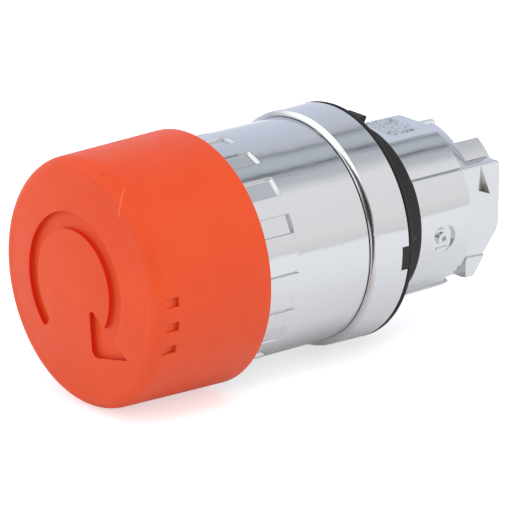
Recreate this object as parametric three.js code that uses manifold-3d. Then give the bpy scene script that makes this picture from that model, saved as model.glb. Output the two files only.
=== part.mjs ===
// Emergency stop head for a 22 mm panel hole: a 30 mm mushroom that latches when it is pushed
// and lets go when it is turned. Millimetres. The button's axis is Y: the mushroom faces -Y,
// the panel's front face is the plane y = 0, and +Z is up (12 o'clock on the panel).
import * as THREE from 'three';
import { mergeVertices } from 'three/addons/utils/BufferGeometryUtils.js';
import Module from 'manifold-3d';

const wasm = await Module();
wasm.setup();

// ---- Driving dimensions ---------------------------------------------------------------

const FIT = 0.3;               // clearance between pieces that only rest near each other
const SNUG = 0.1;              // clearance between pieces that are assembled tight

const CAP = { rimR: 15, frontR: 14.8, rimY: -22.1, crownY: -39.25, domeR: 80, edge: 1.85, boreR: 13.85,
  wall: 2.65, rimRound: 0.15, ringWall: 1.4, ringTall: 0.9 };
const ARROW = { innerR: 6.73, outerR: 8.73, tailDeg: 229, headDeg: -32, depth: 0.9,
  head: [[3.3, -1.6], [3.4, -7.7], [9.5, -6.45]], tipRound: 0.8 };
const TICK = { count: 3, firstDeg: 84.4, pitchDeg: 11.3, wide: 1.15, long: 2.3, deep: 0.45, backY: -35.2 };

const SLEEVE = { r: 13.5, boreR: 11.9, frontY: -31.4, backY: -6, spigotR: 12.6, spigotBoreR: 11,
  spigotY: -3.5 };
const FLUTE = { count: 18, firstDeg: 2.8, wide: 2.36, deep: 0.6, backY: -16.6 };

const COLLAR = { frontR: 14.23, backR: 14.33, frontY: -5.9, shoulderY: -5.53, backY: -0.6, counterR: 12.75,
  counterY: -2.3 };
const BARREL = { r: 10.35, landR: 11, boreR: 8.8, landY: 4.15, landEndY: 12.1, endY: 13.5, wallY: 11.6,
  wallBoreR: 4.6, landTop: 6.1, landLow: -7.8, flatZ: 9.6, keelHalf: 6.6, keelEndY: 12.6 };
// The barrel's rear rim is a short taper that stands back past the end wall, cut low at the top left.
const RIM = { startY: 12.5, endY: 14.05, r: 9.88, boreR: 9.2, cutY: 13.3, cutX: 1.2, cutZ: 9 };
const CHEEK = { outerX: 9, shoulderZ: 6.1, lowZ: -7.4, frontY: 12.1, endY: 18.4, corner: 0.6,
  chin: [[14.4, -7.4], [16, -5.3], [18.1, -2.8], [18.4, -1.8]],
  pocket: { apex: [15.2, 5.8], lip: [16.6, 2.3], ramp: [14.4, 2.3], deep: 1.3 },
  lug: { outline: [[13, -7.1], [14.3, -7.1], [15.4, -5.2], [13, -5.2]], out: 0.4, root: 0.5 },
  recess: { outline: [[12.8, -5.2], [10.6, -7.5], [10, -8.6], [12.8, -8.6]], x: 7.7 },
  right: { innerX: 4.7, topZ: 7.7, backR: 9.2 }, left: { innerX: 3.6, topZ: 8, backR: 9 } };
const NOTCH = { deg: 93.3, wide: 2.9, long: 1.1, deep: 1.5 };

const GASKET = { flangeR: 14.35, sleeveR: 11.05, boreR: 10.45, frontY: -0.5, sleeveY: 4.1, keyHalf: 1.3,
  keyTop: 12.5, keyY: 3.4, keyRoot: 0.2 };
const LIP_SEAL = { frontY: -30.9, backY: -28.9, rootR: 11, lipR: 10.4, lipHalf: 0.3 };
const SEAL_WASHER = { frontY: -28.7, backY: -27.9, boreR: 10.7 };
const O_RING = { meanR: 11.9, wireR: 0.5 };
const BUSH = { flangeR: 5.5, flangeY: 10.2 };
const SPRING_WASHER = { boreR: 5.7, r: 8.5, y0: 10.9, y1: 11.45 };

const HUB = { r: 10.2, skirtR: 8.9, frontY: -36.3, pocketR: 5.2, webFrontY: -32.8, webBackY: -30, endY: -20 };
const STEM = { r: 3, frontY: -35, shoulderY: 13.6, tailR: 2, tailY: 16.9, grooveR: 2.4, tailGrooveR: 1.5 };
const CARRIER = { r: 7.6, frontY: -14, backY: -8, pinHoleR: 1.15 };
const LATCH = { count: 4, firstDeg: 45, r: 1, innerR: 4.4, outerR: 8.2, y: -11, rise: 0.2 };
const RING = { r: 11.7, frontY: -12.5, backY: -6.25, frontBoreR: 8.4 };
const PUSHER = { backY: 15.7, halfZ: 6, footY: 15, footEndY: 17.2, footStep: 0.8, footInnerZ: 3.9 };
const TRIP_SPRING = { meanR: 6.6, wireR: 0.6, y0: -29.7, y1: -14.3, turns: 6 };
const RETURN_SPRING = { meanR: 6.6, wireR: 0.6, y0: -7.7, y1: 10.6, turns: 7 };
const TORSION_SPRING = { meanR: 4.5, wireR: 0.4, y0: -29.7, y1: -24, turns: 6 };
const CLEAR = 20;              // how far a cutting block runs past what it cuts

const CHROME = { color: 0xd5d8dc, roughness: 0.18, metalness: 1 };
const STEEL = { color: 0xb4b7ba, roughness: 0.35, metalness: 1 };
const RED = { color: 0xe8563a, roughness: 0.5, metalness: 0 };
const RUBBER = { color: 0x26241f, roughness: 0.8, metalness: 0 };
const DARK_PLASTIC = { color: 0x33363a, roughness: 0.55, metalness: 0 };
const PALE_PLASTIC = { color: 0xd9d6cc, roughness: 0.5, metalness: 0 };
const BRASS = { color: 0xc4a05a, roughness: 0.35, metalness: 1 };

// ---- Helpers --------------------------------------------------------------------------

const rad = THREE.MathUtils.degToRad;

// A closed mesh with shared vertices, no slivers and its faces pointing out.
function closed(geometry) {
  const bare = geometry.clone();
  bare.deleteAttribute('normal');
  bare.deleteAttribute('uv');
  const merged = mergeVertices(bare, 1e-4);
  const corner = merged.index.array;
  const triangles = [];
  for (let i = 0; i < corner.length; i += 3) {
    const [a, b, c] = corner.slice(i, i + 3);
    if (a !== b && b !== c && c !== a) triangles.push(a, b, c);
  }
  const at = (i) => new THREE.Vector3().fromBufferAttribute(merged.attributes.position, i);
  let volume = 0;
  for (let i = 0; i < triangles.length; i += 3) {
    volume += at(triangles[i]).dot(at(triangles[i + 1]).cross(at(triangles[i + 2])));
  }
  if (volume < 0) triangles.reverse();
  merged.setIndex(triangles);
  return merged;
}

function solid(geometry) {
  const mesh = closed(geometry);
  return new wasm.Manifold(new wasm.Mesh({
    numProp: 3,
    vertProperties: new Float32Array(mesh.attributes.position.array),
    triVerts: new Uint32Array(mesh.index.array),
  }));
}

function geometryOf(manifold) {
  const mesh = manifold.getMesh();
  const geometry = new THREE.BufferGeometry();
  geometry.setAttribute('position', new THREE.BufferAttribute(mesh.vertProperties, 3));
  geometry.setIndex(new THREE.BufferAttribute(mesh.triVerts, 1));
  return geometry;
}

// A body turned about Y from [radius, y] points. One that doesn't start on the axis is a ring.
function turned(points, segments = 36) {
  const outline = points.map(([r, y]) => new THREE.Vector2(r, y));
  if (outline[0].x > 0) outline.push(outline[0].clone());
  return new THREE.LatheGeometry(outline, segments);
}

function arc(r, y, radius, fromDeg, toDeg, steps) {
  return Array.from({ length: steps + 1 }, (_, i) => {
    const angle = rad(fromDeg + (toDeg - fromDeg) * i / steps);
    return [r + radius * Math.cos(angle), y + radius * Math.sin(angle)];
  });
}

function block(x0, x1, y0, y1, z0, z1) {
  const box = new THREE.BoxGeometry(x1 - x0, y1 - y0, z1 - z0);
  return box.translate((x0 + x1) / 2, (y0 + y1) / 2, (z0 + z1) / 2);
}

// An outline in the front view (x to the right, z up) given depth from y0 back to y1.
function frontPrism(shape, y0, y1, curveSegments = 12) {
  const prism = new THREE.ExtrudeGeometry(shape, { depth: y1 - y0, bevelEnabled: false, curveSegments });
  return prism.rotateX(Math.PI / 2).translate(0, y1, 0);
}

// An outline in the side view (y to the rear, z up) given depth from x0 to x1.
function sidePrism(shape, x0, x1) {
  const prism = new THREE.ExtrudeGeometry(shape, { depth: x1 - x0, bevelEnabled: false });
  const turn = new THREE.Matrix4().makeBasis(
    new THREE.Vector3(0, 1, 0), new THREE.Vector3(0, 0, 1), new THREE.Vector3(1, 0, 0));
  return prism.applyMatrix4(turn).translate(x0, 0, 0);
}

function outlineOf(points) {
  return new THREE.Shape(points.map(([a, b]) => new THREE.Vector2(a, b)));
}

// A pin or hole that stands out from the axis at an angle from 12 o'clock, clockwise.
function radialPin(radius, inner, outer, y, deg, segments = 16) {
  const pin = new THREE.CylinderGeometry(radius, radius, outer - inner, segments);
  return pin.rotateX(Math.PI / 2).translate(0, y, (inner + outer) / 2).rotateY(rad(deg));
}

// A round wire wound about Y at an even pitch.
function coil({ meanR, wireR, y0, y1, turns, stepsPerTurn = 12, sides = 6 }) {
  const low = y0 + wireR;
  const rise = y1 - wireR - low;
  class Helix extends THREE.Curve {
    getPoint(t) {
      const angle = t * turns * 2 * Math.PI;
      return new THREE.Vector3(meanR * Math.cos(angle), low + rise * t, meanR * Math.sin(angle));
    }
  }
  const section = new THREE.Shape().absarc(0, 0, wireR, 0, 2 * Math.PI);
  return new THREE.ExtrudeGeometry(section, {
    steps: Math.round(turns * stepsPerTurn),
    extrudePath: new Helix(),
    curveSegments: sides / 2,
    bevelEnabled: false,
  });
}

// ---- Mushroom -------------------------------------------------------------------------

// The outer skin of the mushroom, from the middle of its domed face round to the rear rim.
function capSkin(shift) {
  const edgeR = CAP.frontR - CAP.edge;
  const droop = (r) => CAP.domeR - Math.sqrt(CAP.domeR ** 2 - r ** 2);
  const lean = THREE.MathUtils.radToDeg(Math.asin(edgeR / CAP.domeR));
  const edgeY = CAP.crownY + droop(edgeR) + CAP.edge * Math.cos(rad(lean));
  const dome = [0, 4, 7.7, 10.5].map((r) => [r, CAP.crownY + droop(r)]);
  return [...dome, ...arc(edgeR, edgeY, CAP.edge, -90 - lean / 2, 0, 6)].map(([r, y]) => [r, y + shift]);
}

function arrowShape() {
  const start = rad(ARROW.tailDeg);
  const end = rad(ARROW.headDeg);
  const band = new THREE.Shape();
  band.absarc(0, 0, ARROW.outerR, start, end, true);
  band.absarc(0, 0, ARROW.innerR, end, start, false);
  band.closePath();
  return band;
}

function arrowHead() {
  const [barb, tip, outerBarb] = ARROW.head.map(([x, z]) => new THREE.Vector2(x, z));
  const towards = (from, to) => to.clone().sub(from).setLength(ARROW.tipRound).add(from);
  const before = towards(tip, barb);
  const after = towards(tip, outerBarb);
  const head = new THREE.Shape().moveTo(barb.x, barb.y);
  head.lineTo(before.x, before.y);
  head.quadraticCurveTo(tip.x, tip.y, after.x, after.y);
  head.lineTo(outerBarb.x, outerBarb.y);
  return head;
}

function mushroomCap() {
  const faceY = CAP.crownY + CAP.wall;
  const ringR = HUB.r + CAP.ringWall;
  const ringY = faceY + CAP.ringTall;
  const outline = [
    ...capSkin(0),
    [CAP.rimR, CAP.rimY - CAP.rimRound],
    [CAP.rimR - CAP.rimRound * 0.3, CAP.rimY - CAP.rimRound * 0.3],
    [CAP.rimR - CAP.rimRound, CAP.rimY],
    [CAP.boreR, CAP.rimY],
    [CAP.boreR, faceY + 0.6],
    [CAP.boreR - 0.6, faceY],
    [ringR, faceY],
    [ringR, ringY],
    [HUB.r + SNUG, ringY],
    [HUB.r + SNUG, faceY],
    [0, faceY],
  ];
  let cap = solid(turned(outline, 64));
  const below = solid(turned([...capSkin(ARROW.depth), [CAP.frontR, CAP.rimY], [0, CAP.rimY]], 64));
  const sinkY = [CAP.crownY - 1, CAP.crownY + CAP.wall];
  const sink = solid(frontPrism(arrowShape(), ...sinkY, 28)).add(solid(frontPrism(arrowHead(), ...sinkY)));
  cap = cap.subtract(sink.subtract(below));
  const wedge = outlineOf([[0, 0], [-TICK.long, 1], [0, 1]].map(([y, z]) => [y, z * TICK.deep]));
  for (let i = 0; i < TICK.count; i += 1) {
    const cut = sidePrism(wedge, -TICK.wide / 2, TICK.wide / 2);
    cut.translate(0, TICK.backY, CAP.frontR - TICK.deep + 0.05).rotateY(rad(TICK.firstDeg + i * TICK.pitchDeg));
    cap = cap.subtract(solid(cut));
  }
  return geometryOf(cap);
}

function capHub() {
  return turned([
    [HUB.pocketR, HUB.frontY], [HUB.r, HUB.frontY], [HUB.r, HUB.endY], [HUB.skirtR, HUB.endY],
    [HUB.skirtR, HUB.webBackY], [STEM.r + SNUG, HUB.webBackY], [STEM.r + SNUG, HUB.webFrontY],
    [HUB.pocketR, HUB.webFrontY],
  ]);
}

// ---- Stem, pusher and latch -----------------------------------------------------------

const STEM_CLIP = { y0: -33.6, y1: -33, r: 4.6 };
const TAIL_CLIP = { y0: 15.9, y1: 16.4, r: 3.4 };
const CROSS_PIN = { r: 0.8, half: 7.2 };

function stem() {
  const groove = (clip, r) => [[r, clip.y0 - 0.05], [r, clip.y1 + 0.05]];
  const [headIn, headOut] = groove(STEM_CLIP, STEM.grooveR);
  const [tailIn, tailOut] = groove(TAIL_CLIP, STEM.tailGrooveR);
  const rod = solid(turned([
    [0, STEM.frontY], [STEM.r - 0.4, STEM.frontY], [STEM.r, STEM.frontY + 0.4],
    [STEM.r, headIn[1]], headIn, headOut, [STEM.r, headOut[1]],
    [STEM.r, STEM.shoulderY], [STEM.tailR, STEM.shoulderY],
    [STEM.tailR, tailIn[1]], tailIn, tailOut, [STEM.tailR, tailOut[1]],
    [STEM.tailR, STEM.tailY], [0, STEM.tailY],
  ], 24));
  return geometryOf(rod.subtract(solid(radialPin(CROSS_PIN.r + SNUG, -5, 5, LATCH.y, 0))));
}

// A spring-steel clip: a flat ring with a mouth, snapped into a groove.
function clip(innerR, { y0, y1, r }) {
  const mouth = rad(28);
  const ring = new THREE.Shape();
  ring.absarc(0, 0, r, mouth - Math.PI / 2, 1.5 * Math.PI - mouth, false);
  ring.absarc(0, 0, innerR, 1.5 * Math.PI - mouth, mouth - Math.PI / 2, true);
  ring.closePath();
  return frontPrism(ring, y0, y1, 14);
}

function latchCarrier() {
  let carrier = solid(turned([
    [STEM.r + SNUG, CARRIER.frontY], [CARRIER.r - 0.5, CARRIER.frontY], [CARRIER.r, CARRIER.frontY + 0.5],
    [CARRIER.r, CARRIER.backY - 0.5], [CARRIER.r - 0.5, CARRIER.backY], [STEM.r + SNUG, CARRIER.backY],
  ], 40));
  for (let i = 0; i < LATCH.count; i += 1) {
    const deg = LATCH.firstDeg + i * 360 / LATCH.count;
    carrier = carrier.subtract(solid(radialPin(CARRIER.pinHoleR, LATCH.innerR - FIT, 9, LATCH.y, deg)));
  }
  return geometryOf(carrier.subtract(solid(radialPin(CROSS_PIN.r + SNUG, -9, 9, LATCH.y, 0))));
}

// The fixed ring: its bore opens rearwards, so the pins move out as the head goes in.
function latchRing() {
  const flare = (y) => RING.frontBoreR + FIT + LATCH.rise * (y - RING.frontY);
  return turned([
    [flare(RING.frontY), RING.frontY], [RING.r, RING.frontY], [RING.r, RING.backY],
    [flare(RING.backY), RING.backY],
  ]);
}

function pusher() {
  const { backY, halfZ, footY, footEndY, footStep, footInnerZ } = PUSHER;
  const halfX = CHEEK.left.innerX - FIT;
  const plate = solid(block(-halfX, halfX, BARREL.endY + FIT, backY, -halfZ, halfZ));
  const foot = (z0, z1) => solid(block(-halfX + footStep, halfX - footStep, footY, footEndY, z0, z1));
  const hole = new THREE.CylinderGeometry(STEM.tailR + SNUG, STEM.tailR + SNUG, 8, 24).translate(0, footY, 0);
  return geometryOf(plate.add(foot(footInnerZ, halfZ)).add(foot(-halfZ, -footInnerZ)).subtract(solid(hole)));
}

// ---- Fixed metal ----------------------------------------------------------------------

function frontSleeve() {
  let sleeve = solid(turned([
    [SLEEVE.boreR, SLEEVE.frontY], [SLEEVE.r - 0.4, SLEEVE.frontY], [SLEEVE.r, SLEEVE.frontY + 0.4],
    [SLEEVE.r, SLEEVE.backY], [SLEEVE.spigotR, SLEEVE.backY], [SLEEVE.spigotR, SLEEVE.spigotY],
    [SLEEVE.spigotBoreR, SLEEVE.spigotY], [SLEEVE.spigotBoreR, SLEEVE.backY], [SLEEVE.boreR, SLEEVE.backY],
  ], 72));
  for (let i = 0; i < FLUTE.count; i += 1) {
    const floor = SLEEVE.r - FLUTE.deep;
    const cut = block(-FLUTE.wide / 2, FLUTE.wide / 2, SLEEVE.frontY - 1, FLUTE.backY, floor, SLEEVE.r + 1);
    cut.rotateY(rad(FLUTE.firstDeg + i * 360 / FLUTE.count));
    sleeve = sleeve.subtract(solid(cut));
  }
  return geometryOf(sleeve);
}

// One of the two blocks behind the barrel that the fixing collar grips.
function cheek({ innerX, topZ, backR }) {
  const { outerX, shoulderZ, lowZ, frontY, endY, corner, chin, pocket, lug } = CHEEK;
  const end = new THREE.Shape().moveTo(innerX, lowZ);
  end.lineTo(outerX - corner, lowZ);
  end.absarc(outerX - corner, lowZ + corner, corner, -Math.PI / 2, 0, false);
  end.absarc(outerX - corner, shoulderZ - corner, corner, 0, Math.PI / 2, false);
  end.absarc(0, 0, backR, Math.asin(shoulderZ / backR), Math.asin(topZ / backR), false);
  end.lineTo(innerX, topZ);
  const side = outlineOf([
    [frontY, lowZ], ...chin, [endY, topZ - corner], [endY - corner, topZ], [frontY, topZ],
  ]);
  let piece = solid(frontPrism(end, frontY, endY, 5)).intersect(solid(sidePrism(side, 0, BARREL.landR + 1)));
  const bore = turned([[0, frontY - 1], [BARREL.wallBoreR, frontY - 1], [BARREL.wallBoreR, BARREL.endY],
    [0, BARREL.endY]], 72);
  const sunk = wasm.Manifold.hull([
    [outerX - pocket.deep, ...pocket.lip],
    ...[pocket.apex, pocket.lip, pocket.ramp].flatMap((at) => [[outerX, ...at], [outerX + 1, ...at]]),
  ]);
  const knob = solid(sidePrism(outlineOf(lug.outline), outerX - lug.root, outerX + lug.out));
  return piece.subtract(solid(bore)).subtract(sunk).add(knob);
}

function housing() {
  const { r, landR, boreR, landY, landEndY, endY, wallY, wallBoreR, landTop, landLow } = BARREL;
  let body = solid(turned([
    [SLEEVE.r, COLLAR.frontY], [COLLAR.frontR, COLLAR.shoulderY], [COLLAR.backR, COLLAR.backY - 0.2],
    [COLLAR.backR - 0.2, COLLAR.backY], [r, COLLAR.backY], [r, RIM.startY], [RIM.r, RIM.endY],
    [RIM.boreR, RIM.endY], [RIM.boreR, endY], [wallBoreR, endY], [wallBoreR, wallY],
    [boreR, wallY], [boreR, COLLAR.counterY], [COLLAR.counterR, COLLAR.counterY],
    [COLLAR.counterR, COLLAR.frontY],
  ], 72));
  const rootR = boreR + 0.5;
  const shell = (y1) => solid(turned([[rootR, landY], [landR, landY], [landR, y1], [rootR, y1]], 72));
  const { outerX, recess } = CHEEK;
  const side = solid(block(outerX - 3, CLEAR, 0, CLEAR, landLow, landTop))
    .subtract(solid(sidePrism(outlineOf(recess.outline), recess.x, CLEAR)));
  const sides = side.add(side.mirror([1, 0, 0]));
  body = body.add(shell(landEndY).intersect(sides));
  const keel = solid(block(-BARREL.keelHalf, BARREL.keelHalf, 0, CLEAR, -CLEAR, 0));
  body = body.add(shell(BARREL.keelEndY).intersect(keel));
  body = body.subtract(solid(block(-CLEAR, CLEAR, landY, CLEAR, BARREL.flatZ, CLEAR)));
  body = body.subtract(solid(block(-CLEAR, RIM.cutX, RIM.cutY, CLEAR, RIM.cutZ, CLEAR)));
  body = body.subtract(solid(block(outerX, CLEAR, landEndY, CLEAR, -CLEAR, CLEAR)));
  body = body.subtract(solid(block(-CLEAR, -outerX, landEndY, CLEAR, -CLEAR, CLEAR)));
  body = body.add(cheek(CHEEK.right)).add(cheek(CHEEK.left).mirror([1, 0, 0]));
  const notch = block(-NOTCH.wide / 2, NOTCH.wide / 2, COLLAR.backY - NOTCH.long, 0,
    COLLAR.backR - NOTCH.deep, COLLAR.backR + 1);
  return geometryOf(body.subtract(solid(notch.rotateY(rad(NOTCH.deg)))));
}

// ---- Rubber and plastic fixed parts ---------------------------------------------------

function panelGasket() {
  const { flangeR, sleeveR, boreR, frontY, sleeveY, keyHalf, keyTop, keyY, keyRoot } = GASKET;
  const ring = solid(turned([
    [boreR, frontY], [flangeR, frontY], [flangeR, 0], [sleeveR, 0], [sleeveR, sleeveY], [boreR, sleeveY],
  ], 72));
  const keyZ = boreR + keyRoot;
  const key = outlineOf([[-keyRoot, keyZ], [keyY, keyZ], [keyY, keyTop], [-keyRoot, keyTop]]);
  const half = NOTCH.wide / 2 - SNUG;
  const tab = block(-half, half, COLLAR.backY - NOTCH.long + SNUG, -0.1, COLLAR.backR - NOTCH.deep + SNUG,
    flangeR - 0.1).rotateY(rad(NOTCH.deg));
  return geometryOf(ring.add(solid(sidePrism(key, -keyHalf, keyHalf))).add(solid(tab)));
}

function lipSeal() {
  const { frontY, backY, rootR, lipR, lipHalf } = LIP_SEAL;
  const lipY = (frontY + backY) / 2;
  return turned([
    [rootR, frontY], [RING.r, frontY], [RING.r, backY], [rootR, backY], [lipR, lipY + lipHalf],
    [lipR, lipY - lipHalf],
  ]);
}

function sealWasher() {
  const { frontY, backY, boreR } = SEAL_WASHER;
  return turned([[boreR, frontY], [RING.r, frontY], [RING.r, backY], [boreR, backY]]);
}

function sleeveORing() {
  return turned(arc(O_RING.meanR, (SLEEVE.spigotY + COLLAR.counterY) / 2, O_RING.wireR, 0, 315, 7));
}

function guideBush() {
  const flangeBackY = BARREL.wallY - SNUG;
  const bodyR = BARREL.wallBoreR - SNUG;
  return turned([
    [STEM.r + SNUG, BUSH.flangeY], [BUSH.flangeR, BUSH.flangeY], [BUSH.flangeR, flangeBackY],
    [bodyR, flangeBackY], [bodyR, BARREL.endY], [STEM.r + SNUG, BARREL.endY],
  ], 32);
}

function springWasher() {
  const { boreR, r, y0, y1 } = SPRING_WASHER;
  return turned([[boreR, y0], [r, y0], [r, y1], [boreR, y1]], 40);
}

// ---- Assembly -------------------------------------------------------------------------

const emergencyStopHead = new THREE.Group();

function place(name, geometry, finish) {
  const mesh = new THREE.Mesh(closed(geometry), new THREE.MeshStandardMaterial(finish));
  mesh.name = name;
  emergencyStopHead.add(mesh);
}

place('mushroom_cap', mushroomCap(), RED);
place('cap_hub', capHub(), DARK_PLASTIC);
place('stem', stem(), STEEL);
place('stem_clip', clip(STEM.grooveR + 0.05, STEM_CLIP), STEEL);
place('torsion_spring', coil(TORSION_SPRING), STEEL);
place('trip_spring', coil(TRIP_SPRING), STEEL);
place('latch_carrier', latchCarrier(), BRASS);
place('carrier_pin', radialPin(CROSS_PIN.r, -CROSS_PIN.half, CROSS_PIN.half, LATCH.y, 0), STEEL);
for (let i = 0; i < LATCH.count; i += 1) {
  const deg = LATCH.firstDeg + i * 360 / LATCH.count;
  place(`latch_pin_${i + 1}`, radialPin(LATCH.r, LATCH.innerR, LATCH.outerR, LATCH.y, deg), STEEL);
}
place('latch_ring', latchRing(), STEEL);
place('pusher', pusher(), PALE_PLASTIC);
place('pusher_clip', clip(STEM.tailGrooveR + 0.05, TAIL_CLIP), STEEL);
place('return_spring', coil(RETURN_SPRING), STEEL);
place('spring_washer', springWasher(), STEEL);
place('guide_bush', guideBush(), PALE_PLASTIC);
place('front_sleeve', frontSleeve(), CHROME);
place('housing', housing(), CHROME);
place('sleeve_o_ring', sleeveORing(), RUBBER);
place('lip_seal', lipSeal(), RUBBER);
place('seal_washer', sealWasher(), STEEL);
place('panel_gasket', panelGasket(), RUBBER);

export default emergencyStopHead;
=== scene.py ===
import math
import random

import bmesh
import bpy
from mathutils import Matrix, Vector


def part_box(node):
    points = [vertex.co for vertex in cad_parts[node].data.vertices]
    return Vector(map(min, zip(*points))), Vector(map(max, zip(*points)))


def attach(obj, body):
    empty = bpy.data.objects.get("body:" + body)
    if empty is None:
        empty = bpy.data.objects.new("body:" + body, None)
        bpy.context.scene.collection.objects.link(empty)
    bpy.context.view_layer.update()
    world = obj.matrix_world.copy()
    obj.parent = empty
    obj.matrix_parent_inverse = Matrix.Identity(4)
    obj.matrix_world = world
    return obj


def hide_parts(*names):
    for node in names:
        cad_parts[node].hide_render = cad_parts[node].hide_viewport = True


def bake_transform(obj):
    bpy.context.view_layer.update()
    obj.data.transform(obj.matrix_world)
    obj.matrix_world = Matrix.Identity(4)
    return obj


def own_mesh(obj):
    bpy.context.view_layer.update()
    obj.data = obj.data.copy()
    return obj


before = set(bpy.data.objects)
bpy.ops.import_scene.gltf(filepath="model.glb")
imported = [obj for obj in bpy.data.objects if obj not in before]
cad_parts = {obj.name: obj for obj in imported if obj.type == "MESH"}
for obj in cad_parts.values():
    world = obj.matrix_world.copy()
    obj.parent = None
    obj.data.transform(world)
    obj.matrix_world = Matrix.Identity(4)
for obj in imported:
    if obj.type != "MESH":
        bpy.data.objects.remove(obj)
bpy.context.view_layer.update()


# ---- Mushroom cap ----------------------------------------------------------------------
# The 30 mm mushroom is one moulding in orange-red satin plastic, fixed on a hub by an inner ring.
# Its face is slightly domed and carries a sunk turn-to-release arrow, and three wedge-shaped
# pointer marks are sunk in its side behind the rounded front edge.

MM = 0.001
CAP_CROWN_Y = -39.25
CAP_RIM_Y = -22.1
CAP_RIM_R = 15.14
CAP_FRONT_R = 14.8
CAP_DOME_R = 80.0
CAP_EDGE = 1.85
CAP_BORE_R = 13.85
CAP_WALL = 2.65
CAP_RIM_ROUND = 0.15
CAP_LIP = 0.15
CAP_FILLET = 0.6
CAP_RING_R = 11.6
CAP_RING_BORE_R = 10.3
CAP_RING_TALL = 0.9
CAP_STEPS = 240
ARROW_INNER_R = 6.73
ARROW_OUTER_R = 8.73
ARROW_TAIL = 229
ARROW_HEAD = -32
ARROW_DEPTH = 0.7
ARROW_BARBS = [(3.3, -1.45), (3.4, -7.7), (9.5, -6.45)]
ARROW_BARB_ROUNDS = (0.42, 0.75, 0.12)
ARROW_TAIL_ROUND = 0.6
ARROW_JOIN_ROUND = 0.12
ARROW_TAIL_ROOM = 7
ARROW_JOIN_ROOM = 1.2
ARROW_REACH_R = 11.5
ARROW_BELOW_CROWN = 1.9
TICK_ANGLES = (84.4, 95.7, 107.0)
TICK_WIDE = 1.15
TICK_LONG = 2.3
TICK_DEEP = 0.42
TICK_FRONT_DEEP = 0.1
TICK_BACK_Y = -35.2
SCRATCH_FROM = Vector((6.71, -36.57, 13.18))
SCRATCH_TO = Vector((7.7, -38.22, 10.22))
SCRATCH_HALF = 0.05


def arc(r, y, radius, start, end, steps):
    """Points of an arc in a turned outline, as (radius, y), from one angle to another in degrees."""
    points = []
    for i in range(steps + 1):
        angle = math.radians(start + (end - start) * i / steps)
        points.append((r + radius * math.cos(angle), y + radius * math.sin(angle)))
    return points


def tidy(shape):
    """Closes a bmesh's seams and poles and points its faces outwards."""
    bmesh.ops.remove_doubles(shape, verts=shape.verts, dist=0.0005 * MM)
    bmesh.ops.recalc_face_normals(shape, faces=shape.faces)
    return shape


def turned(outline, steps=192):
    """A body turned about the button's axis from a closed outline of (radius, y) in millimetres."""
    shape = bmesh.new()
    ring = [shape.verts.new((r * MM, y * MM, 0)) for r, y in outline]
    sides = [shape.edges.new(pair) for pair in zip(ring, ring[1:] + ring[:1])
             if pair[0].co.x > 0 or pair[1].co.x > 0]
    bmesh.ops.spin(shape, geom=ring + sides, cent=(0, 0, 0), axis=(0, 1, 0), dvec=(0, 0, 0),
                   angle=2 * math.pi, steps=steps, use_merge=True)
    return tidy(shape)


def slab(outline, depth):
    """A flat outline of points in millimetres, pushed along a depth vector into a closed solid."""
    shape = bmesh.new()
    face = shape.faces.new([shape.verts.new(Vector(p) * MM) for p in outline])
    pushed = bmesh.ops.extrude_face_region(shape, geom=[face], use_keep_orig=True)
    moved = [part for part in pushed["geom"] if isinstance(part, bmesh.types.BMVert)]
    bmesh.ops.translate(shape, verts=moved, vec=Vector(depth) * MM)
    return tidy(shape)


def soften(shape, width, segments=3, sharpest=30, where=None):
    """Rounds the edges of a bmesh that are sharper than an angle, where a test allows it."""
    edges = [e for e in shape.edges if len(e.link_faces) == 2
             and e.calc_face_angle(0) > math.radians(sharpest) and (where is None or where(e))]
    bmesh.ops.bevel(shape, geom=edges, offset=width * MM, offset_type="OFFSET", affect="EDGES",
                    segments=segments, profile=0.5, material=-1, clamp_overlap=True)
    return shape


def carved(base, tool, operation="DIFFERENCE"):
    """One closed bmesh cut by, joined to or trimmed to another."""
    benches = []
    for shape in (base, tool):
        mesh = bpy.data.meshes.new("bench")
        shape.to_mesh(mesh)
        shape.free()
        bench = bpy.data.objects.new("bench", mesh)
        bpy.context.scene.collection.objects.link(bench)
        benches.append(bench)
    fit = benches[0].modifiers.new("fit", "BOOLEAN")
    fit.operation = operation
    fit.solver = "MANIFOLD"
    fit.object = benches[1]
    depsgraph = bpy.context.evaluated_depsgraph_get()
    result = bmesh.new()
    result.from_mesh(benches[0].evaluated_get(depsgraph).to_mesh())
    for bench in benches:
        mesh = bench.data
        bpy.data.objects.remove(bench)
        bpy.data.meshes.remove(mesh)
    return result


def settled(name, shape, finish, sharpest=35):
    """A finished piece: smooth over its rounds, crisp at its corners, with flat faces kept flat."""
    mesh = bpy.data.meshes.new(name)
    shape.to_mesh(mesh)
    shape.free()
    mesh.shade_smooth()
    mesh.set_sharp_from_angle(angle=math.radians(sharpest))
    mesh.materials.append(finish)
    piece = bpy.data.objects.new(name, mesh)
    bpy.context.scene.collection.objects.link(piece)
    even = piece.modifiers.new("even_light", "WEIGHTED_NORMAL")
    even.keep_sharp = True
    return piece


def cap_skin(shift):
    """The mushroom's outer skin, from the middle of its face round to where its side begins."""
    edge_r = CAP_FRONT_R - CAP_EDGE
    lean = math.asin(edge_r / CAP_DOME_R)
    droop = [CAP_DOME_R - math.sqrt(CAP_DOME_R ** 2 - (edge_r * i / 24) ** 2) for i in range(25)]
    dome = [(edge_r * i / 24, CAP_CROWN_Y + droop[i] + shift) for i in range(24)]
    edge_y = CAP_CROWN_Y + droop[24] + CAP_EDGE * math.cos(lean) + shift
    return dome + arc(edge_r, edge_y, CAP_EDGE, -90 - math.degrees(lean) / 2, 0, 14)


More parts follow.
